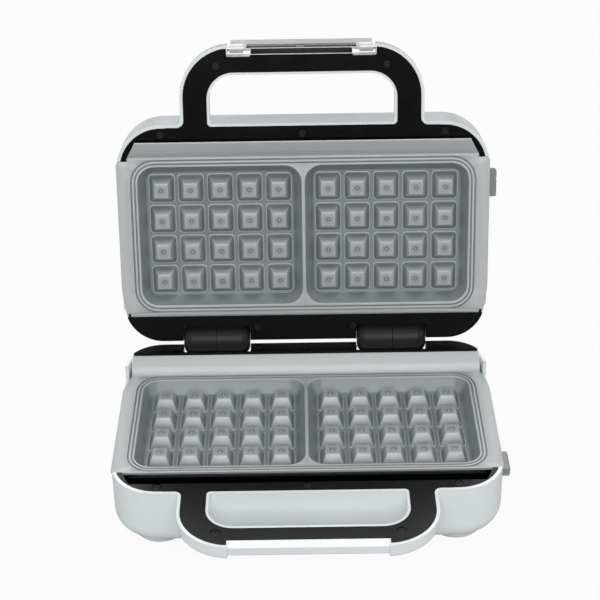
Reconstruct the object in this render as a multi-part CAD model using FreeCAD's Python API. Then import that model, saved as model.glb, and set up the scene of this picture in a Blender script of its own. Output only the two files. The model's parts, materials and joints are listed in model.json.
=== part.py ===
import FreeCAD, Part
import math
import os

# Two-slice waffle maker, opened. Millimetres, +Z up, front towards -Y.
# Both halves are first drawn as the lower half lies: z = 0 at the tops of the lower plate's
# pyramids, y = 0 at the middle of the plate, hinge at the back. The upper half is the mirror
# image in the level halfway between the plates, and is then swung open about the hinge.

Vector = FreeCAD.Vector

# ---- driving dimensions -------------------------------------------------------------------
halfWidth = 142.3        # casing, middle to side
frontY = -88.2           # casing front wall
rearY = 88.9             # casing rear wall
frontRadius = 35.0       # casing plan corners at the front
rearRadius = 30.0        # casing plan corners at the back
wall = 2.6               # casing wall
rim = 2.8                # white rim left beside the black frame
fit = 0.2                # gap between frame and casing
bottomZ = -47.0          # casing underside
bottomRadius = 15.0      # rounding round the underside
frontTopZ = 1.75         # parting level at the front
sideTopZ = -3.2          # casing side wall, under the plate's flange
rearTopZ = 13.5          # parting level at the back of the lower half
upperRearTopZ = -9.6     # the same for the upper half, in its own level
frameThick = 2.5         # frame wall
plateGap = 4.0           # between opposing pyramid tops when shut
flangeFrontY = (-62.2, -60.2)    # front end of the side flanges: lower plate, upper plate
openAngle = 103.1        # lid swing from shut to its stop

handleHalf = 92.2        # handle loop, middle to outer side
handleFrontY = -148.0    # handle loop front
handleRadius = 39.8      # outer corner of the loop
handleBottomZ = -9.8     # handle underside
gripHalf = 69.9          # finger gap, middle to side
gripFrontY = -125.3      # finger gap front edge
gripRadius = 18.5        # finger gap front corners
handleWall = 2.4
recessHalf = 55.5        # latch recess in the handle's front
recessY = -140.4

hingeY = 89.04
hingeZ = 18.07
barrelRadius = 12.25
barrelEnds = ((-96.5, -70.0, -44.0), (95.5, 69.0, 41.0))   # outer end, seam, inner end
hingePinRadius = 2.5

pitchX = 22.5            # pyramid pitch across
pitchY = 24.35           # pyramid pitch front to back
firstX = 18.89           # nearest pyramid to the middle
columns = 5
rows = 4
pyramidTop = (10.0, 11.2)
pyramidBase = (18.2, 20.6)
plateFloorZ = -8.7
plateTopZ = 1.25
plateUnderZ = -11.8
flangeThick = 2.2
flangeHalf = 142.6
cavity = (1.3, 126.7, 55.4)       # inner side, outer side, front and rear of each mould
cavityFloor = (7.0, 121.5, 50.0)
ledgeOutY = 76.0
ledgeOutZ = 11.2

footX = 109.5
frontFootY = -49.5
rearFootY = 60.0
footRadius = 20.5
standZ = -60.0           # level that the machine stands on
padHeight = 1.8

screwX = 107.9
screwFrontY = -80.2
rearScrewX = 38.0
rearScrewY = (83.4, 78.4)    # lower half, upper half
handleScrew = (64.0, -131.8)
screwHeadRadius = 3.0

buttonMidY = -36.0
buttonMidZ = -15.4
buttonLength = 21.0
buttonHeight = 6.6
buttonOutX = 149.5

latchY = -144.0          # latch pivot, in the shut position
latchZ = 10.0
latchSwing = 180.0
latchHalf = 53.8


# ---- drawing helpers ----------------------------------------------------------------------
def roundedWire(corners, z):
    """Closed flat outline at height z; each corner is (x, y, radius)."""
    edges = []
    starts = []
    ends = []
    count = len(corners)
    for i, (x, y, radius) in enumerate(corners):
        here = Vector(x, y, z)
        before = Vector(corners[i - 1][0], corners[i - 1][1], z) - here
        after = Vector(corners[(i + 1) % count][0], corners[(i + 1) % count][1], z) - here
        before.normalize()
        after.normalize()
        if radius < 1e-6:
            starts.append(here)
            ends.append(here)
            continue
        turn = before.getAngle(after)
        reach = radius / math.tan(turn / 2)
        start = here + before * reach
        end = here + after * reach
        middle = (before + after).normalize()
        top = here + middle * (radius / math.sin(turn / 2) - radius)
        edges.append(Part.Arc(start, top, end).toShape())
        starts.append(start)
        ends.append(end)
    for i in range(count):
        a = ends[i]
        b = starts[(i + 1) % count]
        if a.distanceToPoint(b) > 1e-6:
            edges.append(Part.makeLine(a, b))
    return Part.Wire(Part.__sortEdges__(edges))


def prism(corners, z0, z1):
    face = Part.Face(roundedWire(corners, z0))
    return face.extrude(Vector(0, 0, z1 - z0))


def rectangle(x0, x1, y0, y1, radius=0.0):
    return [(x0, y0, radius), (x1, y0, radius), (x1, y1, radius), (x0, y1, radius)]


def block(x0, x1, y0, y1, z0, z1):
    return Part.makeBox(x1 - x0, y1 - y0, z1 - z0, Vector(x0, y0, z0))


def both(shape):
    """The shape and its mirror image in x = 0."""
    return shape.fuse(shape.mirror(Vector(0, 0, 0), Vector(1, 0, 0)))


def pair(shape):
    """The same as both, for pieces that don't touch."""
    return Part.makeCompound([shape, shape.mirror(Vector(0, 0, 0), Vector(1, 0, 0))])


def postAt(x, y, radius, z0, z1):
    return Part.makeCylinder(radius, z1 - z0, Vector(x, y, z0))


def barAlongX(x0, x1, y, z, radius):
    low, high = min(x0, x1), max(x0, x1)
    return Part.makeCylinder(radius, high - low, Vector(low, y, z), Vector(1, 0, 0))


def alongX(profile, x0, x1):
    """Extrudes a (y, z) outline from x0 to x1."""
    points = [Vector(x0, y, z) for y, z in profile]
    face = Part.Face(Part.makePolygon(points + points[:1]))
    return face.extrude(Vector(x1 - x0, 0, 0))


def roundEdges(shape, radius, test):
    edges = [e for e in shape.Edges if test(e)]
    return shape.makeFillet(radius, edges)


def atHeight(z):
    def test(edge):
        box = edge.BoundBox
        return abs(box.ZMin - z) < 1e-3 and abs(box.ZMax - z) < 1e-3
    return test


def bodyOutline(inset):
    side = halfWidth - inset
    front = frontRadius - inset
    rear = rearRadius - inset
    return [(-side, frontY + inset, front), (side, frontY + inset, front),
            (side, rearY - inset, rear), (-side, rearY - inset, rear)]


def screwPlaces():
    return [(x, screwFrontY) for x in (-screwX, 0.0, screwX)]


def rearScrewPlaces(upper):
    return [(x, rearScrewY[upper]) for x in (-rearScrewX, rearScrewX)]


def handleScrewPlaces():
    return [(-handleScrew[0], handleScrew[1]), handleScrew]


def barrelSpace():
    """Room in casings and frames for both hinge barrels."""
    spaces = []
    for outer, seam, inner in barrelEnds:
        grow = 0.4 if outer > inner else -0.4
        spaces.append(barAlongX(outer + grow, inner - grow, hingeY, hingeZ, barrelRadius + 0.4))
    return Part.makeCompound(spaces)


def mirrorHalf(shape):
    return shape.mirror(Vector(0, 0, plateGap / 2), Vector(0, 0, 1))


# ---- casing -------------------------------------------------------------------------------
def handleOutline(inset):
    half = handleHalf - inset
    radius = handleRadius - inset
    front = handleFrontY + inset
    flare = 3.0 + inset
    return [(-104, -80, 0), (-104, frontY + inset, 0), (-half, frontY + inset, flare),
            (-half, front, radius), (half, front, radius), (half, frontY + inset, flare),
            (104, frontY + inset, 0), (104, -80, 0)]


def gripOutline(grow):
    half = gripHalf + grow
    return [(-half, frontY + grow, 3), (-half, gripFrontY - grow, gripRadius + grow),
            (half, gripFrontY - grow, gripRadius + grow), (half, frontY + grow, 3)]


def recessCut(halfLength, depthY):
    """What is taken off the handle's front for the latch; the wall keeps a catch ledge."""
    catch = [(depthY, frontTopZ + 1), (depthY, frontTopZ), (depthY - 3.6, -2.2),
             (depthY - 3.6, -8.0), (depthY - 1.9, handleBottomZ), (depthY - 1.9, handleBottomZ - 1),
             (handleFrontY - 2, handleBottomZ - 1), (handleFrontY - 2, frontTopZ + 1)]
    return alongX(catch, -halfLength, halfLength)


def bodyBlank():
    """The body with its rounded underside, before it is hollowed."""
    blank = prism(bodyOutline(0), bottomZ, 20)
    return roundEdges(blank, bottomRadius, atHeight(bottomZ))


def frameBed():
    """Room for the frame's inlay along the top of the handle."""
    low = frontTopZ - frameThick - 0.1
    bed = prism(handleOutline(rim - fit), low, 40)
    bed = bed.cut(prism(gripOutline(1.8), low - 1, 50))
    return bed.cut(block(-56, 56, -150, recessY, low - 1, 50))


def casing(rearTop, upper):
    body = bodyBlank().cut(block(-160, 160, 60, 100, rearTop - frameThick, 40))
    body = body.cut(block(-160, 160, -100, 60, frontTopZ, 40))
    notchFrontY = flangeFrontY[upper] - 0.3
    body = body.cut(block(-160, 160, notchFrontY, 62, sideTopZ, 40))
    body = body.cut(block(-138, 138, 60, ledgeOutY + 0.4, sideTopZ, 40))
    handle = prism(handleOutline(0), handleBottomZ, frontTopZ)
    handle = roundEdges(handle, 4.0, atHeight(handleBottomZ))
    handle = handle.cut(prism(gripOutline(0), handleBottomZ - 1, frontTopZ + 1))
    shell = body.fuse(handle)
    inner = prism(bodyOutline(wall), bottomZ + wall, 40)
    inner = roundEdges(inner, bottomRadius - wall, atHeight(bottomZ + wall))
    trough = prism(handleOutline(handleWall), handleBottomZ + handleWall, 40)
    trough = trough.cut(prism(gripOutline(1.8), handleBottomZ, 50))
    trough = trough.cut(block(-58.2, 58.2, -150, -138, handleBottomZ, 50))
    shell = shell.cut(inner).cut(trough).cut(frameBed())
    shell = shell.cut(recessCut(recessHalf, recessY))
    if upper:
        arms = block(38.5, recessHalf, -150, -139.0, -20, 20)
        shell = shell.cut(both(arms))
        pin = barAlongX(latchHalf - 10, 59.0, latchY, plateGap - latchZ, 1.9)
        shell = shell.cut(both(pin))
    return shell


def addBosses(shell, places, top):
    blank = bodyBlank()
    for x, y in places:
        boss = postAt(x, y, 4.2, bottomZ + 0.5, top)
        shell = shell.fuse(boss.common(blank))
    for x, y in places:
        shell = shell.cut(postAt(x, y, 1.45, top - 12, top + 1))
    return shell


def casingBosses(shell, rearTop, upper):
    shell = addBosses(shell, screwPlaces(), -11.2)
    shell = addBosses(shell, rearScrewPlaces(upper), rearTop - 13.0)
    for x, y in handleScrewPlaces():
        shell = shell.fuse(postAt(x, y, 3.4, handleBottomZ + 1, frontTopZ - frameThick - fit))
        shell = shell.cut(postAt(x, y, 1.45, handleBottomZ + 1.6, frontTopZ))
    return shell


def buttonHole(shell):
    half = buttonLength / 2 + 0.35
    tall = buttonHeight / 2 + 0.35
    hole = block(130, 160, buttonMidY - half, buttonMidY + half,
                 buttonMidZ - tall, buttonMidZ + tall)
    return shell.cut(hole)


def footDrum(x, y):
    drum = postAt(x, y, footRadius, bottomZ - 0.2, bottomZ + 4)
    drum = drum.fuse(postAt(x, y, footRadius, standZ + padHeight - 1.0, bottomZ))
    drum = drum.removeSplitter()
    drum = roundEdges(drum, 4.0, atHeight(standZ + padHeight - 1.0))
    hollow = postAt(x, y, footRadius - wall, standZ + padHeight + 2.6, bottomZ + 5)
    seat = postAt(x, y, 13.2, standZ, standZ + padHeight)
    groove = postAt(x, y, footRadius + 1, -51.0, -50.4)
    groove = groove.cut(postAt(x, y, footRadius - 0.5, -52, -49))
    return drum.cut(hollow).cut(seat).cut(groove)


def lowerCasing():
    shell = casing(rearTopZ, False)
    for x in (-footX, footX):
        for y in (frontFootY, rearFootY):
            opening = postAt(x, y, footRadius - wall, bottomZ - 1, bottomZ + 5)
            shell = shell.cut(opening).fuse(footDrum(x, y))
    shell = casingBosses(shell, rearTopZ, False)
    shell = shell.cut(barrelSpace())
    gland = Part.makeCylinder(7.3, 12, Vector(0, rearY - 8, -26), Vector(0, 1, 0))
    shell = shell.cut(gland)
    return buttonHole(shell)


def indicatorPlaces():
    return [(-9.0, -58.0), (9.0, -58.0)]


def upperCasing():
    shell = casing(upperRearTopZ, True)
    shell = casingBosses(shell, upperRearTopZ, True)
    shell = shell.cut(mirrorHalf(barrelSpace()))
    for x, y in indicatorPlaces():
        shell = shell.cut(postAt(x, y, 3.6, bottomZ - 1, bottomZ + wall + 1))
    return buttonHole(shell)


# ---- frame --------------------------------------------------------------------------------
def channelOutline(grow):
    end = 135.4 + grow
    front = 128.6 + grow
    return [(-end, -56, 0), (-end, -60 - grow, 0), (-front, -76.8 - grow, 3),
            (front, -76.8 - grow, 3), (end, -60 - grow, 0), (end, -56, 0)]


def frame(rearTop, upper):
    inset = rim
    low = frontTopZ - frameThick
    front = prism(bodyOutline(inset), low, frontTopZ)
    front = front.common(block(-160, 160, -100, flangeFrontY[upper] - 0.4, -20, 20))
    handle = prism(handleOutline(inset), low, frontTopZ)
    handle = handle.cut(prism(gripOutline(2.0), low - 1, frontTopZ + 1))
    notch = block(-56, 56, -150, recessY + 0.2, -20, 20)
    handle = handle.cut(notch)
    if upper:
        arms = block(38.3, 56, -150, -138.8, -20, 20)
        handle = handle.cut(both(arms))
    plate = front.fuse(handle)
    trough = prism(channelOutline(2.0), -11.0, low + 0.2)
    trough = trough.common(prism(bodyOutline(inset), -20, 20))
    plate = plate.fuse(trough)
    plate = plate.cut(prism(channelOutline(0), -9.0, 20))
    cut = block(-133.5, 133.5, -59.6, 0, -30, 30)
    plate = plate.cut(cut)
    plate = plate.cut(block(-160, 160, flangeFrontY[upper] - 0.4, 0, -1.1, 20))
    rib = block(-129, 129, -64.6, -62.9, -9.5, -1.8)
    plate = plate.fuse(rib)
    ring = prism(bodyOutline(wall + fit), sideTopZ - 2.6, sideTopZ)
    ring = ring.common(block(-160, 160, -64, 68, -20, 20))
    ring = ring.cut(block(-132.5, 132.5, -61, 62.6, -20, 20))
    plate = plate.fuse(ring)
    deck = prism(bodyOutline(0.05), rearTop - frameThick, rearTop)
    deck = deck.common(block(-160, 160, 68.8, 100, -20, 30))
    return plate, deck


def screwHoles(shape, places, top):
    for x, y in places:
        shape = shape.cut(postAt(x, y, screwHeadRadius + 0.3, top - 1.7, top + 1))
        shape = shape.cut(postAt(x, y, 1.8, top - 14, top + 1))
    return shape


def screwSockets(shape, places, top, depth):
    """Solid posts under the frame that its screws go through."""
    room = prism(bodyOutline(wall + fit), top - depth, top)
    for x, y in places:
        shape = shape.fuse(postAt(x, y, 4.4, top - depth, top - 0.5).common(room))
    return shape


def lowerFrame():
    plate, deck = frame(rearTopZ, False)
    deck = deck.common(block(-160, 160, ledgeOutY + 0.6, 100, -20, 30))
    wallUp = block(-130, 130, ledgeOutY + 0.6, ledgeOutY + 3.0, sideTopZ - 2.6, rearTopZ - 0.5)
    link = block(-130, 130, 62.6, ledgeOutY + 3.0, sideTopZ - 2.6, sideTopZ)
    shape = plate.fuse([deck, wallUp, link])
    shape = screwSockets(shape, rearScrewPlaces(False), rearTopZ, 13.0)
    shape = shape.cut(barrelSpace())
    shape = screwHoles(shape, screwPlaces(), frontTopZ)
    shape = screwHoles(shape, handleScrewPlaces(), frontTopZ)
    shape = screwHoles(shape, rearScrewPlaces(False), rearTopZ)
    return shape


def upperFrame():
    plate, deck = frame(upperRearTopZ, True)
    low = upperRearTopZ - frameThick
    top = sideTopZ - 1.2
    upright = block(-132.5, 132.5, 67.0, 69.2, low, top)
    sides = block(-139.4, -132.5, 60, 69.2, low, top)
    sides = both(sides.common(prism(bodyOutline(wall + 0.8), -30, 30)))
    shape = plate.fuse([deck, upright, sides])
    shape = shape.cut(block(-160, 160, 69.2, 100, upperRearTopZ, 40))
    shape = screwSockets(shape, rearScrewPlaces(True), upperRearTopZ, 13.0)
    shape = shape.cut(mirrorHalf(barrelSpace()))
    shape = screwHoles(shape, screwPlaces(), frontTopZ)
    shape = screwHoles(shape, handleScrewPlaces(), frontTopZ)
    shape = screwHoles(shape, rearScrewPlaces(True), upperRearTopZ)
    return shape


# ---- waffle plates ------------------------------------------------------------------------
def mould(side):
    """The space of one waffle, wider at the top."""
    inner, outer, depth = cavity
    floorIn, floorOut, floorDepth = cavityFloor
    top = rectangle(inner, outer, -depth, depth, 13.0)
    low = rectangle(floorIn, floorOut, -floorDepth, floorDepth, 7.0)
    space = Part.makeLoft([roundedWire(low, plateFloorZ), roundedWire(top, plateTopZ)], True, True)
    above = prism(top, plateTopZ, plateTopZ + 5)
    space = space.fuse(above)
    return space if side > 0 else space.mirror(Vector(0, 0, 0), Vector(1, 0, 0))


def pyramidPlaces():
    places = []
    for side in (-1, 1):
        for i in range(columns):
            for j in range(rows):
                places.append((side * (firstX + i * pitchX), (j - (rows - 1) / 2) * pitchY))
    return places


def pyramid(x, y):
    low = rectangle(x - pyramidBase[0] / 2, x + pyramidBase[0] / 2,
                    y - pyramidBase[1] / 2, y + pyramidBase[1] / 2)
    top = rectangle(x - pyramidTop[0] / 2, x + pyramidTop[0] / 2,
                    y - pyramidTop[1] / 2, y + pyramidTop[1] / 2)
    solid = Part.makeLoft([roundedWire(low, plateFloorZ), roundedWire(top, 0)], True, True)
    return solid.fuse(prism(low, plateFloorZ - 1.0, plateFloorZ))


def sealGroove(halfX, halfY, radius):
    outer = prism(rectangle(-halfX - 0.55, halfX + 0.55, -halfY - 0.55, halfY + 0.55, radius + 0.55),
                  plateTopZ - 0.9, plateTopZ + 1)
    inner = prism(rectangle(-halfX + 0.55, halfX - 0.55, -halfY + 0.55, halfY - 0.55, radius - 0.55),
                  plateTopZ - 1.9, plateTopZ + 2)
    return outer.cut(inner)


def ledge(half):
    top = [(60.5, plateTopZ), (62.6, plateTopZ), (67.4, 6.2), (ledgeOutY, ledgeOutZ)]
    low = [(ledgeOutY, ledgeOutZ - 2.4), (68.4, 4.0), (63.6, plateTopZ - flangeThick),
           (60.5, plateTopZ - flangeThick)]
    return alongX(top + low, -half, half)


def wafflePlate(flange, extras):
    plate = prism(flange, plateTopZ - flangeThick, plateTopZ)
    lip = prism(flange, sideTopZ + 0.1, plateTopZ - flangeThick)
    lip = lip.cut(block(-flangeHalf + 1.9, flangeHalf - 1.9, -100, 100, -20, 20))
    lip = lip.common(block(-160, 160, -59.7, 60.5, -20, 20))
    body = prism(rectangle(-129.8, 129.8, -58.6, 58.6, 13.0), plateUnderZ, plateTopZ - flangeThick)
    plate = plate.fuse([lip, body] + extras)
    plate = plate.removeSplitter()
    plate = plate.cut(mould(-1)).cut(mould(1))
    plate = plate.cut(sealGroove(128.9, 57.8, 15.0)).cut(sealGroove(131.6, 60.6, 17.8))
    plate = plate.fuse([pyramid(x, y) for x, y in pyramidPlaces()])
    pips = [postAt(x, y, 1.5, -0.45, 1.0) for x, y in pyramidPlaces()]
    plate = plate.cut(Part.makeCompound(pips))
    return plate


def lowerPlate():
    flange = [(-flangeHalf, -62.2, 5), (flangeHalf, -62.2, 5), (flangeHalf, 46, 8),
              (138.2, 60.5, 3), (138.2, 63.2, 0), (-138.2, 63.2, 0), (-138.2, 60.5, 3),
              (-flangeHalf, 46, 8)]
    return wafflePlate(flange, [ledge(137.4)])


def rolledEdge():
    """Rear edge of the upper plate, turned down behind the flange."""
    profile = [(61.0, plateTopZ), (62.4, plateTopZ), (63.7, 0.8), (64.9, -0.3), (65.6, -1.8),
               (65.8, -3.0), (63.8, -3.0), (63.4, -1.6), (62.4, -0.95), (61.0, -0.95)]
    outline = prism([(-138.4, 60, 0), (138.4, 60, 0), (136.6, 66, 3), (-136.6, 66, 3)], -10, 10)
    return alongX(profile, -139, 139).common(outline)


def upperPlate():
    flange = [(-flangeHalf, -60.2, 4), (-134.0, -60.2, 0), (-134.0, -63.0, 0), (134.0, -63.0, 0),
              (134.0, -60.2, 0), (flangeHalf, -60.2, 4), (flangeHalf, 53.0, 20),
              (138.4, 62.4, 0), (-138.4, 62.4, 0), (-flangeHalf, 53.0, 20)]
    front = ledge(134.0).mirror(Vector(0, 0, 0), Vector(0, 1, 0))
    ends = prism([(134.6, -56, 0), (134.1, -60.2, 0), (126.9, -78, 0), (150, -78, 0), (150, -56, 0)],
                 -20, 30)
    return wafflePlate(flange, [front.cut(both(ends)), rolledEdge()])


# ---- heating gear -------------------------------------------------------------------------
def reflector():
    pan = prism(rectangle(-126, 126, -55, 55, 12.0), -27.0, -13.4)
    pan = roundEdges(pan, 5.0, atHeight(-27.0))
    inside = prism(rectangle(-125.2, 125.2, -54.2, 54.2, 11.2), -26.2, -12.0)
    inside = roundEdges(inside, 4.2, atHeight(-26.2))
    return pan.cut(inside)


def elementPath():
    """Serpentine of the tubular heater, with its cold ends at the back."""
    half, front, rear, radius = 108.0, -40.0, 40.0, 14.0
    corners = [(-20, rear + 8, 0), (-20, 12, radius), (-half, 12, radius), (-half, front, radius),
               (half, front, radius), (half, 12, radius), (20, 12, radius), (20, rear + 8, 0)]
    return corners


def sweepRound(corners, z, radius):
    """Round bar along an open path with arc corners."""
    edges = []
    last = Vector(corners[0][0], corners[0][1], z)
    for i in range(1, len(corners) - 1):
        here = Vector(corners[i][0], corners[i][1], z)
        before = Vector(corners[i - 1][0], corners[i - 1][1], z) - here
        after = Vector(corners[i + 1][0], corners[i + 1][1], z) - here
        before.normalize()
        after.normalize()
        turn = before.getAngle(after)
        reach = corners[i][2] / math.tan(turn / 2)
        start = here + before * reach
        end = here + after * reach
        middle = (before + after).normalize()
        top = here + middle * (corners[i][2] / math.sin(turn / 2) - corners[i][2])
        edges.append(Part.makeLine(last, start))
        edges.append(Part.Arc(start, top, end).toShape())
        last = end
    edges.append(Part.makeLine(last, Vector(corners[-1][0], corners[-1][1], z)))
    path = Part.Wire(edges)
    tangent = edges[0].tangentAt(edges[0].FirstParameter)
    circle = Part.Wire(Part.makeCircle(radius, edges[0].valueAt(edges[0].FirstParameter), tangent))
    return path.makePipeShell([circle], True, False)


def heatingElement():
    return sweepRound(elementPath(), -17.0, 3.2)


def elementClips():
    clips = []
    for x in (-70.0, 70.0):
        for y in (-40.0, 12.0):
            post = block(x - 4, x + 4, y - 5.4, y + 5.4, -26.1, -21.0)
            strap = block(x - 4, x + 4, y - 5.4, y + 5.4, -21.0, -14.2)
            strap = strap.cut(barAlongX(x - 5, x + 5, y, -17.0, 3.3))
            clips.append(post.fuse(strap).removeSplitter())
    return Part.makeCompound(clips)


def plateCatches():
    """Spring hooks at the left that hold the plate's edge."""
    hooks = []
    for y in (-36.0, 20.0):
        stem = block(-136.6, -135.2, y - 6, y + 6, -24.0, -6.2)
        foot = block(-136.6, -128.5, y - 6, y + 6, -25.2, -24.0)
        hooks.append(stem.fuse(foot).removeSplitter())
    return Part.makeCompound(hooks)


def springSeat():
    """Upright bracket that the release button's spring pushes against."""
    seat = block(126.6, 127.6, buttonMidY - 7, buttonMidY + 7, -40.0, -12.2)
    foot = block(127.6, 134.0, buttonMidY - 7, buttonMidY + 7, -40.0, -38.8)
    return seat.fuse(foot).removeSplitter()


def releaseButton():
    half = buttonLength / 2
    tall = buttonHeight / 2
    cap = block(139.2, buttonOutX, buttonMidY - half, buttonMidY + half,
                buttonMidZ - tall, buttonMidZ + tall)
    ends = [e for e in cap.Edges if abs(e.BoundBox.XMin - buttonOutX) < 1e-3]
    cap = cap.makeFillet(1.6, ends)
    groove = block(buttonOutX - 0.5, buttonOutX + 1, buttonMidY - 4.4, buttonMidY - 2.6,
                   buttonMidZ - 9, buttonMidZ + 9)
    flange = block(137.0, 139.3, buttonMidY - half - 2, buttonMidY + half + 2,
                   buttonMidZ - tall - 1.6, buttonMidZ + tall + 1.6)
    stub = Part.makeCylinder(1.6, 4.0, Vector(133.2, buttonMidY, buttonMidZ), Vector(1, 0, 0))
    return cap.cut(groove).fuse([flange, stub]).removeSplitter()


def buttonSpring():
    turns = 5
    start = 127.8
    length = 136.8 - start
    helix = Part.makeHelix(length / turns, length - 0.6, 2.4)
    profile = Part.Wire(Part.makeCircle(0.3, Vector(2.4, 0, 0), Vector(0, 1, 0)))
    coil = Part.Wire(helix.Edges).makePipeShell([profile], True, True)
    coil.rotate(Vector(0, 0, 0), Vector(0, 1, 0), 90)
    coil.translate(Vector(start + 0.3, buttonMidY, buttonMidZ))
    return coil


def thermostat():
    body = postAt(0, -4, 9.0, -40.0, -28.2)
    cap = postAt(0, -4, 11.0, -31.0, -27.3)
    tabs = [block(x - 3, x + 3, -4.4, -3.6, -44.0, -39.5) for x in (-5.5, 5.5)]
    return body.fuse([cap] + tabs).removeSplitter()


def thermalFuse():
    body = barAlongX(20, 33, -12, -29.8, 2.2)
    leads = barAlongX(12, 41, -12, -29.8, 0.5)
    return body.fuse(leads)


def terminalBlock():
    base = block(-24, 24, 52, 66, -44.2, -32.0)
    for x in (-16, 0, 16):
        base = base.cut(postAt(x, 59, 2.4, -37.4, -31))
        base = base.cut(Part.makeCylinder(2.0, 20, Vector(x, 50, -38), Vector(0, 1, 0)))
    return base


def cordGland():
    body = Part.makeCylinder(7.0, 10.0, Vector(0, rearY - 6.0, -26), Vector(0, 1, 0))
    flange = Part.makeCylinder(9.5, 2.2, Vector(0, rearY + 0.1, -26), Vector(0, 1, 0))
    clamp = Part.makeCylinder(9.0, 2.4, Vector(0, rearY - wall - 2.6, -26), Vector(0, 1, 0))
    bore = Part.makeCylinder(3.6, 40, Vector(0, rearY - 20, -26), Vector(0, 1, 0))
    return body.fuse([flange, clamp]).removeSplitter().cut(bore)


# ---- fasteners, feet, lamps ---------------------------------------------------------------
def screw(x, y, top, length):
    head = postAt(x, y, screwHeadRadius, top - 1.6, top - 0.3)
    head = roundEdges(head, 0.4, atHeight(top - 0.3))
    shank = postAt(x, y, 1.4, top - 1.6 - length, top - 1.5)
    slotA = block(x - 1.7, x + 1.7, y - 0.3, y + 0.3, top - 1.1, top + 1)
    slotB = block(x - 0.3, x + 0.3, y - 1.7, y + 1.7, top - 1.1, top + 1)
    return head.fuse(shank).removeSplitter().cut(slotA).cut(slotB)


def frameScrews(rearTop, upper):
    screws = [screw(x, y, frontTopZ, 17) for x, y in screwPlaces()]
    screws += [screw(x, y, rearTop, 18) for x, y in rearScrewPlaces(upper)]
    return Part.makeCompound(screws)


def handleScrews():
    return Part.makeCompound([screw(x, y, frontTopZ, 7.2) for x, y in handleScrewPlaces()])


def footPads():
    pads = []
    for x in (-footX, footX):
        for y in (frontFootY, rearFootY):
            pad = postAt(x, y, 13.0, standZ, standZ + padHeight)
            pads.append(roundEdges(pad, 0.6, atHeight(standZ)))
    return Part.makeCompound(pads)


def indicatorLenses():
    lenses = []
    for x, y in indicatorPlaces():
        lens = postAt(x, y, 3.4, bottomZ - 0.6, bottomZ + wall + 0.4)
        lens = roundEdges(lens, 0.5, atHeight(bottomZ - 0.6))
        lens = lens.fuse(postAt(x, y, 4.6, bottomZ + wall + 0.05, bottomZ + wall + 1.3))
        lenses.append(lens.removeSplitter())
    return Part.makeCompound(lenses)


def indicatorLamps():
    lamps = []
    for x, y in indicatorPlaces():
        bulb = postAt(x, y, 2.4, bottomZ + wall + 1.6, bottomZ + wall + 8)
        leads = [postAt(x + d, y, 0.35, bottomZ + wall + 7.5, bottomZ + wall + 13) for d in (-1, 1)]
        lamps.append(bulb.fuse(leads))
    return Part.makeCompound(lamps)


# ---- hinge --------------------------------------------------------------------------------
def knuckle(end, seam, footZ0, footZ1):
    """Half a hinge barrel with the foot that goes into its casing."""
    away = 1 if end < seam else -1
    low, high = sorted((end, seam))
    barrel = barAlongX(low, high, hingeY, hingeZ, barrelRadius)
    outer = [e for e in barrel.Edges if abs(e.BoundBox.XMin - end) < 1e-3
             and abs(e.BoundBox.XMax - end) < 1e-3]
    barrel = barrel.makeFillet(7.0, outer)
    middle = (low + high) / 2 + away * 2.0
    foot = block(middle - 7, middle + 7, 80.6, 85.8, footZ0, footZ1)
    return barrel.fuse(foot)


def boredKnuckles(shapes, radius):
    bored = []
    for shape, (outer, seam, inner) in zip(shapes, barrelEnds):
        toward = 1 if inner > outer else -1
        hole = barAlongX(outer + toward * 6.0, inner - toward * 6.0, hingeY, hingeZ, radius)
        bored.append(shape.cut(hole))
    return Part.makeCompound(bored)


def lowerKnuckles():
    shapes = []
    for outer, seam, inner in barrelEnds:
        toward = 1 if inner > outer else -1
        shapes.append(knuckle(outer, seam - toward * 0.2, -14.0, 12.0))
    return boredKnuckles(shapes, hingePinRadius)


def upperKnuckles():
    shapes = []
    for outer, seam, inner in barrelEnds:
        toward = 1 if inner > outer else -1
        shapes.append(knuckle(inner, seam + toward * 0.2, 24.0, 35.0))
    return boredKnuckles(shapes, hingePinRadius + 0.05)


def hingePins():
    pins = []
    for outer, seam, inner in barrelEnds:
        toward = 1 if inner > outer else -1
        pins.append(barAlongX(outer + toward * 6.2, inner - toward * 6.2, hingeY, hingeZ,
                              hingePinRadius))
    return Part.makeCompound(pins)


# ---- latch (drawn locked, lid shut) -------------------------------------------------------
def latchBar():
    inY = latchY - 0.6
    outY = inY - 2.2
    lowZ = handleBottomZ - 2.5
    plate = block(-latchHalf, latchHalf, outY, inY, lowZ, latchZ - 4.6)
    arms = both(block(43.5, latchHalf, outY, inY, latchZ - 5.0, latchZ))
    hubs = both(barAlongX(43.5, latchHalf, latchY, latchZ, 3.4))
    lip = block(-latchHalf, latchHalf, inY - 0.1, inY + 3.5, lowZ, lowZ + 2.2)
    window = block(-4.0, 2.2, outY - 1, inY + 1, lowZ + 4.0, lowZ + 10.0)
    bore = barAlongX(-60, 60, latchY, latchZ, 1.95)
    bar = plate.fuse([arms, hubs, lip]).removeSplitter()
    edges = [e for e in bar.Edges if abs(e.BoundBox.YMax - outY) < 1e-3
             and abs(e.BoundBox.YMin - outY) < 1e-3 and e.Length > 20]
    return bar.makeFillet(0.8, edges).cut(window).cut(bore)


def latchPins():
    return pair(barAlongX(44.5, 58.0, latchY, latchZ, 1.9))


# ---- assembly -----------------------------------------------------------------------------
def swing(shape, axisY, axisZ, degrees):
    turned = shape.copy()
    turned.rotate(Vector(0, axisY, axisZ), Vector(1, 0, 0), degrees)
    return turned


def openLid(shape):
    return swing(shape, hingeY, hingeZ, -openAngle)


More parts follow.
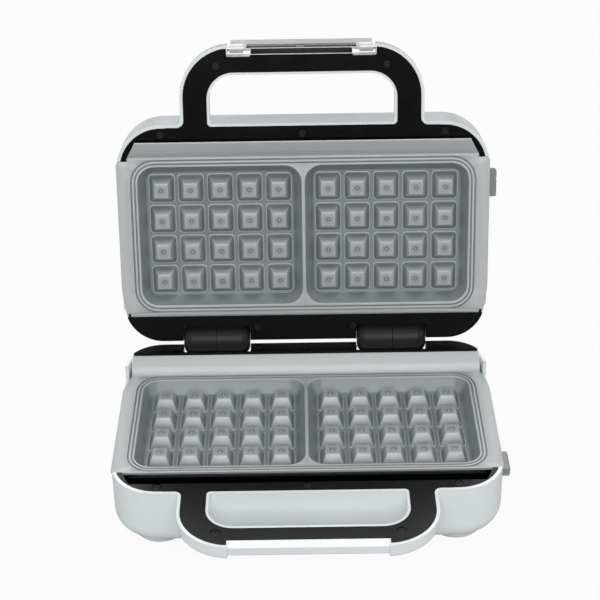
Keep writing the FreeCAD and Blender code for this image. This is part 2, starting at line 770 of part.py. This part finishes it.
def upperParts():
    """Everything on the lid that is drawn as the lower half lies."""
    return {
        "upper_casing": upperCasing(),
        "upper_frame": upperFrame(),
        "upper_waffle_plate": upperPlate(),
        "upper_reflector": reflector(),
        "upper_heating_element": heatingElement(),
        "upper_element_clips": elementClips(),
        "upper_plate_catches": plateCatches(),
        "upper_spring_seat": springSeat(),
        "upper_frame_screws": frameScrews(upperRearTopZ, True),
        "upper_handle_screws": handleScrews(),
        "indicator_lenses": indicatorLenses(),
        "indicator_lamps": indicatorLamps(),
        "upper_release_button": releaseButton(),
        "upper_button_spring": buttonSpring(),
    }


def lowerParts():
    return {
        "lower_casing": lowerCasing(),
        "lower_frame": lowerFrame(),
        "lower_waffle_plate": lowerPlate(),
        "lower_reflector": reflector(),
        "lower_heating_element": heatingElement(),
        "lower_element_clips": elementClips(),
        "lower_plate_catches": plateCatches(),
        "lower_spring_seat": springSeat(),
        "lower_frame_screws": frameScrews(rearTopZ, False),
        "lower_handle_screws": handleScrews(),
        "lower_release_button": releaseButton(),
        "lower_button_spring": buttonSpring(),
        "lower_hinge_knuckles": lowerKnuckles(),
        "hinge_pins": hingePins(),
        "foot_pads": footPads(),
        "thermostat": thermostat(),
        "thermal_fuse": thermalFuse(),
        "terminal_block": terminalBlock(),
        "cord_gland": cordGland(),
    }


def assemble():
    parts = lowerParts()
    for name, shape in upperParts().items():
        parts[name] = openLid(mirrorHalf(shape))
    parts["upper_hinge_knuckles"] = openLid(upperKnuckles())
    parts["latch_pins"] = openLid(latchPins())
    parts["latch_bar"] = openLid(swing(latchBar(), latchY, latchZ, -latchSwing))
    return parts


def export(parts):
    """Moves the origin to the middle of the footprint, on the table, and writes the files."""
    whole = Part.makeCompound(list(parts.values())).BoundBox
    shift = Vector(-(whole.XMin + whole.XMax) / 2, -(whole.YMin + whole.YMax) / 2, -whole.ZMin)
    print("shift", tuple(round(v, 4) for v in shift))
    os.makedirs("parts", exist_ok=True)
    for name, shape in parts.items():
        shape.translate(shift)
        shape.exportStep("parts/" + name + ".step")
        print(name, "solids", len(shape.Solids), "valid", shape.isValid(), round(shape.Volume))


export(assemble())
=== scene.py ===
import bpy
import bmesh
import json
import math
from mathutils import Matrix, Vector


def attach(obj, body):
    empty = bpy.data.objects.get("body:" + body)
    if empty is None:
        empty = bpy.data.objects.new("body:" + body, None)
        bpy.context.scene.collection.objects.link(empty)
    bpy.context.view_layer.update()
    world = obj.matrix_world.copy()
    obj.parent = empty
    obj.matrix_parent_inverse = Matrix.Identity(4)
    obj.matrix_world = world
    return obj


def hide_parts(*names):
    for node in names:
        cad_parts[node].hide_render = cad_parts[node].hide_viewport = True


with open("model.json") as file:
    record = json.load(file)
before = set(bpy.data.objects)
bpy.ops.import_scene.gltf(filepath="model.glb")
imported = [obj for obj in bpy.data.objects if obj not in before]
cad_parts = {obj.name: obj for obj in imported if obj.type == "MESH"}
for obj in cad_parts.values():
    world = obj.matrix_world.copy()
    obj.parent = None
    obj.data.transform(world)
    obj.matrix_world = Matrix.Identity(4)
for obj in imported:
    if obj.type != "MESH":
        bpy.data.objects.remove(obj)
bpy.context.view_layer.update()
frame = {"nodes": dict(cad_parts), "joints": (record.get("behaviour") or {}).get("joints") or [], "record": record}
nodes = frame["nodes"]
joints = {joint["name"]: joint for joint in frame["joints"]}
print("waffle maker: frame loaded,", len(nodes), "parts")


# shader maths
class Val:
    # wraps a socket so that node maths can be written as expressions
    def __init__(self, mat, socket):
        self.mat = mat
        self.socket = socket

    def math(self, op, a, b):
        return self.mat.node("ShaderNodeMath", {"operation": op}, {0: a, 1: b})

    def __add__(self, other):
        return self.math("ADD", self, other)

    def __radd__(self, other):
        return self.math("ADD", other, self)

    def __mul__(self, other):
        return self.math("MULTIPLY", self, other)

    def __rmul__(self, other):
        return self.math("MULTIPLY", other, self)


class Finish:
    # one material with a Principled shader, fed by node maths
    def __init__(self, name, **fixed):
        self.material = bpy.data.materials.new(name)
        self.material.use_nodes = True
        self.tree = self.material.node_tree
        self.shader = self.tree.nodes["Principled BSDF"]
        for label, value in fixed.items():
            self.shader.inputs[label.replace("_", " ")].default_value = value

    def node(self, kind, settings=None, values=None, output=0):
        made = self.tree.nodes.new(kind)
        for label, value in (settings or {}).items():
            setattr(made, label, value)
        for key, value in (values or {}).items():
            if isinstance(value, Val):
                self.tree.links.new(value.socket, made.inputs[key])
            else:
                made.inputs[key].default_value = value
        return Val(self, made.outputs[output])

    def feed(self, label, value):
        self.tree.links.new(value.socket, self.shader.inputs[label])

    def where(self):
        return self.node("ShaderNodeTexCoord", output="Object")

    def noise(self, scale, detail=4.0, rough=0.55):
        # scale in features a metre
        values = {"Vector": self.where(), "Scale": scale, "Detail": detail, "Roughness": rough}
        return self.node("ShaderNodeTexNoise", {}, values)

    def between(self, value, low, high, start=0.0, end=1.0):
        values = {"Value": value, "From Min": low, "From Max": high, "To Min": start, "To Max": end}
        return self.node("ShaderNodeMapRange", {"clamp": True}, values)

    def mix(self, factor, a, b):
        settings = {"data_type": "RGBA"}
        return self.node("ShaderNodeMix", settings, {0: factor, 6: a, 7: b}, output=2)

    def bump(self, height, strength, distance):
        values = {"Height": height, "Strength": strength, "Distance": distance}
        self.feed("Normal", self.node("ShaderNodeBump", {}, values))

    def edgeHighlight(self, low, high):
        # mask for a painted edge highlight: rises from 0 on flats towards 1 along convex edges
        return self.between(self.node("ShaderNodeNewGeometry", output="Pointiness"), low, high)


def grey(level, tint=(1.0, 1.0, 1.0)):
    # a display grey from 0 to 255, as linear colour
    value = level / 255.0
    linear = value / 12.92 if value <= 0.04045 else ((value + 0.055) / 1.055) ** 2.4
    return (linear * tint[0], linear * tint[1], linear * tint[2], 1.0)


# finishes
moulded = {"cloud": 9.0, "patch": 42.0, "roughSpread": 0.09, "grainStrength": 0.12, "coatRough": 0.06}


def glossPlastic(name, light, dark, rough, grain, depth, coat=0.0, shine=0.5):
    # injection moulded plastic: faint cloudiness, fine orange peel
    finish = Finish(name, Metallic=0.0, Coat_Roughness=moulded["coatRough"], IOR=1.5,
                    Specular_IOR_Level=shine)
    cloud = finish.noise(moulded["cloud"], 3.0)
    fine = finish.noise(grain, 3.0)
    finish.feed("Base Color", finish.mix(finish.between(cloud, 0.35, 0.7), dark, light))
    patch = finish.noise(moulded["patch"])
    finish.feed("Roughness", finish.between(patch, 0.3, 0.75, rough, rough + moulded["roughSpread"]))
    finish.shader.inputs["Coat Weight"].default_value = coat
    finish.bump(fine, moulded["grainStrength"], depth)
    return finish.material


metalGrain = {"cloud": 30.0, "roughSpread": 0.12, "strength": 0.2}


def metalFinish(name, light, dark, rough, metallic, grain, depth):
    finish = Finish(name, Metallic=metallic)
    cloud = finish.noise(metalGrain["cloud"], 5.0, 0.6)
    fine = finish.noise(grain, 3.0)
    finish.feed("Base Color", finish.mix(finish.between(cloud, 0.3, 0.7), dark, light))
    finish.feed("Roughness", finish.between(fine, 0.25, 0.75, rough, rough + metalGrain["roughSpread"]))
    finish.bump(fine, metalGrain["strength"], depth)
    return finish.material


coating = {"metallic": 0.4, "cloud": 55.0, "speck": 1400.0, "grain": 1800.0, "dark": 140, "light": 152,
           "tint": (0.89, 0.99, 1.05), "highlightLevel": 226, "edgeHighlight": 0.7, "speckLevel": 190, "speckShare": 0.25,
           "roughness": (0.44, 0.54), "speckRough": 0.08, "grainStrength": 0.22, "grainDepth": 0.00012}


def plateCoating():
    # sprayed non-stick coating over cast aluminium, with a painted highlight that lightens the convex edges
    finish = Finish("plateCoating", Metallic=coating["metallic"], IOR=1.5)
    cloud = finish.between(finish.noise(coating["cloud"], 6.0, 0.65), 0.3, 0.7)
    speck = finish.between(finish.noise(coating["speck"], 2.0), 0.4, 0.75)
    base = finish.mix(cloud, grey(coating["dark"], coating["tint"]), grey(coating["light"], coating["tint"]))
    # painted highlight: convex edges lightened towards a near white grey
    paintedHighlight = finish.edgeHighlight(0.505, 0.55) * coating["edgeHighlight"]
    base = finish.mix(paintedHighlight, base, grey(coating["highlightLevel"], (0.97, 1.0, 1.0)))
    base = finish.mix(speck * coating["speckShare"], base, grey(coating["speckLevel"]))
    finish.feed("Base Color", base)
    rough = finish.between(cloud, 0.0, 1.0, *coating["roughness"])
    finish.feed("Roughness", rough + speck * coating["speckRough"])
    finish.bump(finish.noise(coating["grain"], 3.0), coating["grainStrength"], coating["grainDepth"])
    return finish.material


finishes = {
    "white_casing": glossPlastic("whiteCasing", grey(246, (0.93, 0.985, 1.0)),
                                 grey(240, (0.93, 0.985, 1.0)), 0.16, 900.0, 0.00003, 0.35),
    "black_frame": glossPlastic("blackFrame", grey(9), grey(6), 0.22, 1200.0, 0.00003, 0.0, 0.18),
    "hinge_plastic": glossPlastic("hingePlastic", grey(34, (1.0, 1.0, 1.06)), grey(28, (1.0, 1.0, 1.06)),
                                  0.36, 1500.0, 0.00004, 0.0, 0.25),
    "grey_button": glossPlastic("greyButton", grey(150), grey(140), 0.3, 1500.0, 0.00003),
    "foot_rubber": glossPlastic("footRubber", grey(44), grey(36), 0.6, 700.0, 0.0001),
    "gland_rubber": glossPlastic("glandRubber", grey(48), grey(40), 0.55, 700.0, 0.0001),
    "terminal_plastic": glossPlastic("terminalPlastic", grey(222), grey(212), 0.4, 700.0, 0.00004),
    "fuse_body": glossPlastic("fuseBody", grey(205), grey(195), 0.4, 700.0, 0.00004),
    "lens": glossPlastic("lampLens", grey(200, (1.0, 0.25, 0.12)), grey(190, (1.0, 0.22, 0.1)),
                         0.12, 500.0, 0.00002, 0.5),
    "lamp_glass": glossPlastic("lampGlass", grey(215, (1.0, 0.9, 0.8)), grey(205), 0.1, 500.0, 0.00001),
    "plate_coating": plateCoating(),
    "latch_metal": metalFinish("latchMetal", grey(214), grey(204), 0.3, 0.35, 900.0, 0.00004),
    "bright_steel": metalFinish("brightSteel", grey(205), grey(190), 0.24, 1.0, 900.0, 0.00003),
    "black_screw": metalFinish("blackScrew", grey(30), grey(22), 0.35, 0.5, 1500.0, 0.00004),
    "reflector_sheet": metalFinish("reflectorSheet", grey(200), grey(185), 0.3, 1.0, 500.0, 0.00004),
    "heater_sheath": metalFinish("heaterSheath", grey(110), grey(90), 0.45, 0.8, 700.0, 0.00006),
}
slotOf = {entry["node"]: entry["material_slot"] for entry in frame["record"]["subparts"]}
for name, part in nodes.items():
    part.data.materials.clear()
    part.data.materials.append(finishes[slotOf[name]])
print("waffle maker: finishes made,", len(finishes))


# drawing in millimetres, both halves as the lower one lies
# x runs along the hinge, y to the back, z = 0 at the tops of the plate's pyramids
layout = {"hingeBack": 89.04, "hingeUp": 18.07, "plateGap": 4.0, "millimetre": 0.001, "weld": 0.002}
hinge = Vector(joints["lid_hinge"]["pos_m"])
openAngle = math.radians(joints["lid_hinge"]["range_deg"][1])
toMetres = Matrix.Scale(layout["millimetre"], 4)
origin = hinge - Vector((0.0, layout["hingeBack"], layout["hingeUp"])) * layout["millimetre"]
lowerPlace = Matrix.Translation(origin) @ toMetres
flip = Matrix.Translation((0.0, 0.0, layout["plateGap"])) @ Matrix.Scale(-1.0, 4, (0.0, 0.0, 1.0))
swing = Matrix.Translation(hinge) @ Matrix.Rotation(-openAngle, 4, "X") @ Matrix.Translation(-hinge)
upperPlace = swing @ lowerPlace @ flip
placeOf = {"lower": lowerPlace, "upper": upperPlace}
bodyOf = {"lower": "base", "upper": "lid"}


def finishPiece(bm, name, place, body, slot, standsFor=(), smooth=35.0):
    bmesh.ops.remove_doubles(bm, verts=bm.verts, dist=layout["weld"])
    bmesh.ops.transform(bm, matrix=place, verts=bm.verts)
    bmesh.ops.recalc_face_normals(bm, faces=bm.faces)
    mesh = bpy.data.meshes.new(name)
    bm.to_mesh(mesh)
    bm.free()
    mesh.materials.append(finishes[slot])
    mesh.shade_smooth()
    mesh.set_sharp_from_angle(angle=math.radians(smooth))
    piece = bpy.data.objects.new(name, mesh)
    bpy.context.scene.collection.objects.link(piece)
    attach(piece, body)
    if standsFor:
        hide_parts(*standsFor)


def loopOf(bm, corners, z, steps=6):
    # closed outline at height z through a few corners (x, y, rounding)
    before = set(bm.edges)
    verts = [bm.verts.new((x, y, z)) for x, y, r in corners]
    bm.faces.new(verts)
    for vert, (x, y, r) in zip(verts, corners):
        if r:
            bmesh.ops.bevel(bm, geom=[vert], offset=r, offset_type="OFFSET", segments=steps,
                            profile=0.5, affect="VERTICES", clamp_overlap=False, material=-1)
    edges = [edge for edge in bm.edges if edge not in before]
    faces = {face for edge in edges for face in edge.link_faces}
    bmesh.ops.delete(bm, geom=list(faces), context="FACES_ONLY")
    return edges


def boxCorners(cx, cy, hx, hy, r):
    return [(cx - hx, cy - hy, r), (cx + hx, cy - hy, r), (cx + hx, cy + hy, r), (cx - hx, cy + hy, r)]


def lift(bm, loop, height):
    verts = list({vert for edge in loop for vert in edge.verts})
    bmesh.ops.translate(bm, vec=(0.0, 0.0, height), verts=verts)


def bridgeAll(bm, loops, spread=40.0):
    # the loops are held apart while they are joined, or level ones would twist
    for number, loop in enumerate(loops):
        lift(bm, loop, spread * number)
    for first, second in zip(loops, loops[1:]):
        bmesh.ops.bridge_loops(bm, edges=first + second)
    for number, loop in enumerate(loops):
        lift(bm, loop, -spread * number)


def mirrorAcross(bm):
    # completes a part drawn for x > 0
    inside = [face for face in bm.faces if all(abs(vert.co.x) < 0.001 for vert in face.verts)]
    bmesh.ops.delete(bm, geom=inside, context="FACES")
    loose = [edge for edge in bm.edges if not edge.link_faces]
    bmesh.ops.delete(bm, geom=loose, context="EDGES")
    copied = bmesh.ops.duplicate(bm, geom=bm.verts[:] + bm.edges[:] + bm.faces[:])
    verts = [item for item in copied["geom"] if isinstance(item, bmesh.types.BMVert)]
    bmesh.ops.scale(bm, vec=(-1.0, 1.0, 1.0), verts=verts)
    bmesh.ops.remove_doubles(bm, verts=bm.verts, dist=layout["weld"])


def addProfile(bm, profile, x0, x1):
    # bar with a (y, z) section, from x0 to x1
    verts = [bm.verts.new((x0, y, z)) for y, z in profile]
    face = bm.faces.new(verts)
    grown = bmesh.ops.extrude_face_region(bm, geom=[face])
    moved = [item for item in grown["geom"] if isinstance(item, bmesh.types.BMVert)]
    bmesh.ops.translate(bm, vec=(x1 - x0, 0.0, 0.0), verts=moved)
    return verts + moved


# waffle plates
plate = {
    "top": 1.25, "sheet": 2.2, "under": -11.8, "floor": -8.7,
    "mould": (64.0, 0.0, 62.7, 55.4, 13.0),          # middle, half sizes, corner radius
    "mouldFloor": (64.25, 0.0, 57.25, 50.0, 7.0),
    "seals": ((128.9, 57.8, 15.0), (131.6, 60.6, 17.8)), "sealWidth": 1.1, "sealDepth": 0.9,
    "pitch": (22.5, 24.35), "firstX": 18.89, "columns": 5, "rows": 4,
    # outward, rounding and height steps from the floor up and from the rim down
    "floorSteps": ((-1.6, -1.6, 0.0), (-0.6, -0.6, 0.22), (0.3, 0.6, 1.0)),
    "rimSteps": ((-0.35, -0.4, -0.9), (0.0, 0.0, -0.28), (0.45, 0.4, 0.0)),
    "edgeSteps": ((0.7, 0.0), (0.22, 0.18), (0.0, 0.65)), "edgeReturn": 1.4,
    "body": (129.8, 58.6, 13.0), "foldY": -62.4, "endSlant": 0.52, "rolledHalf": 136.4,
    "pyramidTop": (5.0, 5.6), "pyramidBase": (9.1, 10.3), "cornerSides": 3, "ringSides": 16,
    # share of the way up, extra width, share of the floor's depth, lift, corner radius
    "pyramidLevels": ((0.0, 1.1, 1.0, -0.02, 3.0), (0.0, 0.45, 1.0, 0.08, 2.4), (0.04, 0.1, 1.0, 0.42, 1.9),
                      (0.5, 0.0, 0.5, 0.0, 1.3), (0.94, 0.0, 0.06, 0.0, 0.9), (0.99, -0.1, 0.0, -0.1, 0.85),
                      (1.0, -0.45, 0.0, 0.0, 0.7)),
    "dimpleRings": ((1.9, 0.0), (1.7, -0.6), (1.0, -0.62), (0.62, -0.1)),
    "ledge": ((62.0, 1.25), (62.9, 1.3), (63.5, 1.6), (67.2, 5.9), (67.9, 6.5), (75.4, 10.9), (76.0, 11.2),
              (76.6, 10.9), (76.4, 9.6), (68.6, 4.9), (63.9, 0.0), (62.0, -0.9)),
    "rolled": ((61.0, 1.25), (62.4, 1.25), (63.7, 0.8), (64.9, -0.3), (65.6, -1.8), (65.8, -3.0),
               (63.8, -3.0), (63.4, -1.6), (62.4, -0.95), (61.0, -0.95)),
    "lowerEdge": ((0.0, -62.2, 0.0), (142.6, -62.2, 4.0), (142.6, 46.0, 6.0), (138.2, 60.5, 0.0),
                  (138.2, 62.4, 0.0), (0.0, 62.4, 0.0)),
    "upperEdge": ((0.0, -62.4, 0.0), (134.2, -62.4, 0.0), (134.2, -60.2, 0.0), (142.6, -60.2, 4.0),
                  (142.6, 53.0, 12.0), (138.4, 62.2, 0.0), (0.0, 62.2, 0.0)),
    "ledgeHalf": {"lower": 137.4, "upper": 134.0},
}


def pulledIn(corners, amount):
    # the same half outline, moved in by an amount except along the middle
    made = []
    for x, y, r in corners:
        inX = amount if x > 0.0 else 0.0
        inY = math.copysign(amount, y) if abs(y) > 55.0 else 0.0
        made.append((x - inX, y - inY, r))
    return made


def growPyramid(bm, x, y):
    floor = plate["floor"]
    topX, topY = plate["pyramidTop"]
    baseX, baseY = plate["pyramidBase"]
    loops = []
    for share, extra, depth, lifted, radius in plate["pyramidLevels"]:
        halfX = baseX + (topX - baseX) * share + extra
        halfY = baseY + (topY - baseY) * share + extra
        corners = boxCorners(x, y, halfX, halfY, radius)
        loops.append(loopOf(bm, corners, floor * depth + lifted, plate["cornerSides"]))
    halfSide = math.pi / plate["ringSides"]
    for radius, z in plate["dimpleRings"]:
        turn = Matrix.Translation((x, y, z)) @ Matrix.Rotation(halfSide, 4, "Z")
        ring = bmesh.ops.create_circle(bm, segments=plate["ringSides"], radius=radius, matrix=turn)
        loops.append(list({edge for vert in ring["verts"] for edge in vert.link_edges}))
    bridgeAll(bm, loops)
    bmesh.ops.contextual_create(bm, geom=loops[0])
    bmesh.ops.contextual_create(bm, geom=loops[-1])


def wafflePlate(half):
    bm = bmesh.new()
    top = plate["top"]
    cx, cy, hx, hy, r = plate["mould"]
    fx, fy, gx, gy, q = plate["mouldFloor"]
    floor = plate["floor"]
    loops = []
    for out, rounder, up in plate["floorSteps"]:
        loops.append(loopOf(bm, boxCorners(fx, fy, gx + out, gy + out, q + rounder), floor + up))
    for out, rounder, up in plate["rimSteps"]:
        loops.append(loopOf(bm, boxCorners(cx, cy, hx + out, hy + out, r + rounder), top + up))
    mouldFloor = loops[0]
    lip, foot = plate["sealWidth"] / 2 + 0.12, plate["sealWidth"] / 2 - 0.1
    for sx, sy, sr in plate["seals"]:
        for out, drop in ((-lip, 0.0), (-foot, 1.0), (foot, 1.0), (lip, 0.0)):
            corners = [(0.0, -sy - out, 0.0), (sx + out, -sy - out, sr + out),
                       (sx + out, sy + out, sr + out), (0.0, sy + out, 0.0)]
            loops.append(loopOf(bm, corners, top - drop * plate["sealDepth"]))
    edge = plate[half + "Edge"]
    sheet = plate["sheet"]
    for inward, drop in plate["edgeSteps"] + ((0.0, sheet), (plate["edgeReturn"], sheet)):
        loops.append(loopOf(bm, pulledIn(edge, inward), top - drop))
    bx, by, br = plate["body"]
    body = [(0.0, -by, 0.0), (bx, -by, br), (bx, by, br), (0.0, by, 0.0)]
    loops.append(loopOf(bm, body, top - sheet))
    loops.append(loopOf(bm, body, plate["under"]))
    bridgeAll(bm, loops)
    bmesh.ops.contextual_create(bm, geom=mouldFloor)
    bmesh.ops.contextual_create(bm, geom=loops[-1])
    mirrorAcross(bm)
    reach = plate["ledgeHalf"][half]
    side = 1.0 if half == "lower" else -1.0
    shelf = addProfile(bm, [(side * y, z) for y, z in plate["ledge"]], -reach, reach)
    if half == "upper":
        for vert in shelf:      # slanting ends
            slant = (plate["foldY"] - vert.co.y) * plate["endSlant"]
            vert.co.x -= math.copysign(slant, vert.co.x)
        addProfile(bm, plate["rolled"], -plate["rolledHalf"], plate["rolledHalf"])
    pitchX, pitchY = plate["pitch"]
    for side in (-1.0, 1.0):
        for column in range(plate["columns"]):
            for row in range(plate["rows"]):
                growPyramid(bm, side * (plate["firstX"] + column * pitchX), (row - 1.5) * pitchY)
    finishPiece(bm, half + "WafflePlate", placeOf[half], bodyOf[half], "plate_coating",
                [half + "_waffle_plate"], 20.0)


for half in ("lower", "upper"):
    wafflePlate(half)
print("waffle maker: plates cast")


# latch shade sheet: painted shade, a black sheet over the latch's inner face, which lies in shade
latch = {"pivot": (-144.0, 10.0), "half": 41.5, "faceY": -144.6, "thick": 0.4, "low": -9.9, "high": 4.6,
         "window": (-4.0, 2.2), "windowLow": -4.0, "windowHigh": 2.2, "edge": 0.12}
pivot = lowerPlace @ Vector((0.0,) + latch["pivot"])
folded = Matrix.Translation(pivot) @ Matrix.Rotation(math.pi, 4, "X") @ Matrix.Translation(-pivot)
latchPlace = swing @ folded @ lowerPlace


def addPad(bm, x0, x1, y0, y1, z0, z1, corner):
    # block with its edges rounded
    made = bmesh.ops.create_cube(bm, size=1.0)["verts"]
    bmesh.ops.scale(bm, vec=(x1 - x0, y1 - y0, z1 - z0), verts=made)
    bmesh.ops.translate(bm, vec=((x0 + x1) / 2, (y0 + y1) / 2, (z0 + z1) / 2), verts=made)
    edges = list({edge for vert in made for edge in vert.link_edges})
    bmesh.ops.bevel(bm, geom=edges, offset=corner, offset_type="OFFSET", segments=2,
                    profile=0.5, affect="EDGES", clamp_overlap=True, material=-1)


# painted shade: black pads with a window, laid on the shaded inner face of the silver latch
def latchShadeSheet():
    bm = bmesh.new()
    y0, y1 = latch["faceY"], latch["faceY"] + latch["thick"]
    low, high = latch["low"], latch["high"]
    left, right = latch["window"]
    addPad(bm, -latch["half"], left, y0, y1, low, high, latch["edge"])
    addPad(bm, right, latch["half"], y0, y1, low, high, latch["edge"])
    addPad(bm, left, right, y0, y1, low, latch["windowLow"], latch["edge"])
    addPad(bm, left, right, y0, y1, latch["windowHigh"], high, latch["edge"])
    finishPiece(bm, "latchShadeSheet", latchPlace, "latch", "black_frame")


latchRecess = {"half": 37.8, "edge": 0.08,
               "section": ((-140.8, 1.3), (-144.1, -2.3), (-144.36, -2.07), (-141.06, 1.53))}


def recessShadeSheet():
    # painted shade: a dark strip on the white casing's slope behind the folded latch, where it lies in shade
    bm = bmesh.new()
    addProfile(bm, latchRecess["section"], -latchRecess["half"], latchRecess["half"])
    bmesh.ops.bevel(bm, geom=bm.edges[:], offset=latchRecess["edge"], offset_type="OFFSET", segments=2,
                    profile=0.5, affect="EDGES", clamp_overlap=True, material=-1)
    finishPiece(bm, "latchRecessShadeSheet", upperPlace, "lid", "black_frame")


# both sheets are painted shade, dark where the latch and its recess lie in shade
latchShadeSheet()
recessShadeSheet()
print("waffle maker: latch and its recess lined")


# camera, light, floor
cameraSet = {"place": (-0.00335, -0.98336, 0.76196), "pitch": 31.257, "yaw": 0.139,
             "roll": -0.906, "lens": 95.3}


def addCamera():
    data = bpy.data.cameras.new("camera")
    data.lens = cameraSet["lens"]
    data.sensor_width = 36.0
    data.clip_start = 0.05
    camera = bpy.data.objects.new("camera", data)
    turn = Matrix.Rotation(math.radians(cameraSet["yaw"]), 4, "Z")
    turn = turn @ Matrix.Rotation(math.radians(90.0 - cameraSet["pitch"]), 4, "X")
    turn = turn @ Matrix.Rotation(math.radians(cameraSet["roll"]), 4, "Z")
    camera.matrix_world = Matrix.Translation(cameraSet["place"]) @ turn
    bpy.context.scene.collection.objects.link(camera)
    bpy.context.scene.camera = camera


lamps = [
    {"name": "frontSoft", "place": (0.0, -1.7, 1.35), "aim": (0.0, 0.0, 0.14), "size": 1.3, "watts": 20.5},
    {"name": "topSoft", "place": (0.0, 0.1, 1.9), "aim": (0.0, 0.0, 0.1), "size": 1.2, "watts": 7.0},
    {"name": "backSoft", "place": (0.0, 1.4, 1.5), "aim": (0.0, 0.1, 0.2), "size": 1.2, "watts": 14.0},
    {"name": "leftSoft", "place": (-1.6, -0.4, 0.9), "aim": (0.0, 0.0, 0.12), "size": 1.0, "watts": 5.5},
    {"name": "rightSoft", "place": (1.6, -0.4, 0.9), "aim": (0.0, 0.0, 0.12), "size": 1.0, "watts": 5.5},
]


def addLamps():
    for lamp in lamps:
        data = bpy.data.lights.new(lamp["name"], "AREA")
        data.shape = "SQUARE"
        data.size = lamp["size"]
        data.energy = lamp["watts"]
        light = bpy.data.objects.new(lamp["name"], data)
        aim = Vector(lamp["aim"]) - Vector(lamp["place"])
        turn = aim.to_track_quat("-Z", "Y").to_matrix().to_4x4()
        light.matrix_world = Matrix.Translation(lamp["place"]) @ turn
        bpy.context.scene.collection.objects.link(light)


paperSet = {"size": 6.0, "cells": 4, "roughness": 0.85, "dark": 196, "light": 202, "lift": 0.93}


def addFloor():
    bm = bmesh.new()
    bmesh.ops.create_grid(bm, x_segments=paperSet["cells"], y_segments=paperSet["cells"],
                          size=paperSet["size"])
    mesh = bpy.data.meshes.new("floor")
    bm.to_mesh(mesh)
    bm.free()
    floor = bpy.data.objects.new("floor", mesh)
    bpy.context.scene.collection.objects.link(floor)
    paper = Finish("floorPaper", Roughness=paperSet["roughness"])
    tone = paper.between(paper.noise(3.0), 0.3, 0.7)
    paper.feed("Base Color", paper.mix(tone, grey(paperSet["dark"]), grey(paperSet["light"])))
    seen = paper.node("ShaderNodeLightPath", output="Is Camera Ray")
    lift = paper.node("ShaderNodeEmission", {}, {"Color": (1.0, 1.0, 1.0, 1.0), "Strength": 1.0})
    blend = paper.node("ShaderNodeMixShader", {}, {0: seen * paperSet["lift"], 2: lift})
    paper.tree.links.new(paper.shader.outputs["BSDF"], blend.socket.node.inputs[1])
    paper.tree.links.new(blend.socket, paper.tree.nodes["Material Output"].inputs["Surface"])
    mesh.materials.append(paper.material)


studioFill = 0.2    # the world's own light on the object


def addWorld():
    world = bpy.data.worlds.new("studio")
    world.use_nodes = True
    tree = world.node_tree
    back = tree.nodes["Background"]
    path = tree.nodes.new("ShaderNodeLightPath")
    white = tree.nodes.new("ShaderNodeBackground")
    white.inputs["Color"].default_value = (1.0, 1.0, 1.0, 1.0)
    white.inputs["Strength"].default_value = 1.0
    back.inputs["Color"].default_value = (1.0, 1.0, 1.0, 1.0)
    back.inputs["Strength"].default_value = studioFill
    mix = tree.nodes.new("ShaderNodeMixShader")
    tree.links.new(path.outputs["Is Camera Ray"], mix.inputs[0])
    tree.links.new(back.outputs[0], mix.inputs[1])
    tree.links.new(white.outputs[0], mix.inputs[2])
    tree.links.new(mix.outputs[0], tree.nodes["World Output"].inputs["Surface"])
    bpy.context.scene.world = world


bpy.context.scene.view_settings.view_transform = "Standard"
addCamera()
addLamps()
addFloor()
addWorld()
print("waffle maker: stage set")
